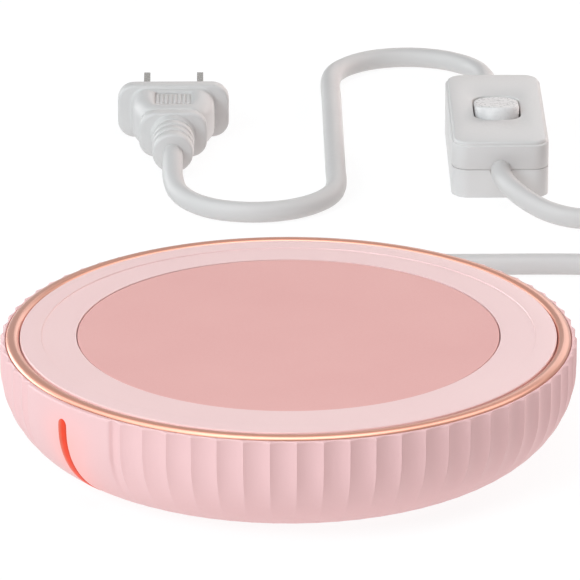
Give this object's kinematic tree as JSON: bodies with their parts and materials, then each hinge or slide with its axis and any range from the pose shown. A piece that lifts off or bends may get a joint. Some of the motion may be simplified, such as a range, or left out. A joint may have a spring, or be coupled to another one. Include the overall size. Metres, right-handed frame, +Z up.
{
  "type": "electric mug warmer",
  "caption": "Low fluted round mug warmer with a heated top plate, rose gold trim ring, glowing light bar, and a mains cord with in-line rocker switch and two-blade plug.",
  "frame": {"origin": "centre of the body's footprint on the table", "axes": "+Z up through the plate, -Y towards the light bar, cord leaves the back 50.5 degrees round from +Y towards -X"},
  "size_m": [0.2462, 0.2534, 0.0242],
  "materials": {
    "shell_plastic": "satin",
    "base_plastic": "matte",
    "foot_silicone": "matte",
    "zinc_steel": "satin",
    "rose_gold_trim": "polished",
    "deck_plastic": "satin",
    "gasket_silicone": "matte",
    "plate_coating": "satin",
    "mica_sheet": "matte",
    "fibre_pad": "matte",
    "shield_aluminium": "satin",
    "black_phenolic": "matte",
    "ceramic_tube": "matte",
    "light_acrylic": "lit from behind",
    "board_laminate": "satin",
    "led_white": "gloss",
    "capacitor_case": "gloss",
    "terminal_green": "matte",
    "lead_sleeve": "matte",
    "red_wire": "gloss",
    "cord_pvc": "satin",
    "clamp_nylon": "matte",
    "tie_nylon": "matte",
    "switch_plastic": "satin",
    "rocker_plastic": "satin",
    "contact_brass": "polished",
    "spring_steel": "satin",
    "plug_pvc": "satin",
    "blade_nickel": "polished"
  },
  "bodies": {
    "warmer": {"outer_shell": "shell_plastic", "base_cover": "base_plastic", "rubber_feet": "foot_silicone", "case_screws": "zinc_steel", "trim_ring": "rose_gold_trim", "top_deck": "deck_plastic", "plate_gasket": "gasket_silicone", "hot_plate": "plate_coating", "heater_disc": "mica_sheet", "insulation_pad": "fibre_pad", "clamp_plate": "zinc_steel", "clamp_screws": "zinc_steel", "heat_shield": "shield_aluminium", "thermostat": "black_phenolic", "thermal_fuse": "ceramic_tube", "fuse_clip": "zinc_steel", "light_guide": "light_acrylic", "led_board": "board_laminate", "leds": "led_white", "control_board": "board_laminate", "board_capacitor": "capacitor_case", "board_triac": "black_phenolic", "board_chip": "black_phenolic", "terminal_block": "terminal_green", "board_screws": "zinc_steel", "heater_leads": "lead_sleeve", "led_leads": "red_wire", "strain_relief": "cord_pvc", "inner_cord": "cord_pvc", "cord_clamp": "clamp_nylon", "clamp_bar_screws": "zinc_steel", "cord_to_coil": "cord_pvc", "cord_coil": "cord_pvc", "coil_tie": "tie_nylon", "cord_to_switch": "cord_pvc", "switch_base": "switch_plastic", "switch_cover": "switch_plastic", "pivot_terminal": "contact_brass", "end_terminal": "contact_brass", "terminal_screws": "zinc_steel", "switch_screws": "zinc_steel", "switch_cord_ends": "cord_pvc", "cord_to_plug": "cord_pvc", "plug_body": "plug_pvc", "plug_blades": "blade_nickel", "plug_core": "clamp_nylon"},
    "rocker": {"switch_rocker": "rocker_plastic", "rocker_plunger": "contact_brass", "rocker_spring": "spring_steel"},
    "see_saw": {"see_saw_contact": "contact_brass"}
  },
  "joints": [
    {"name": "rocker_swing", "type": "hinge", "parent": "warmer", "child": "rocker", "pos_m": [-0.10259, 0.15067, 0.0102], "axis": [0.6361, 0.7716, 0], "range_deg": [0, 18]},
    {"name": "see_saw_tilt", "type": "hinge", "parent": "warmer", "child": "see_saw", "pos_m": [-0.10259, 0.15067, 0.0052], "axis": [0.6361, 0.7716, 0], "range_deg": [-9, 0]}
  ],
  "couplings": [
    {"joint": "see_saw_tilt", "follows": "rocker_swing", "ratio": -0.5}
  ]
}
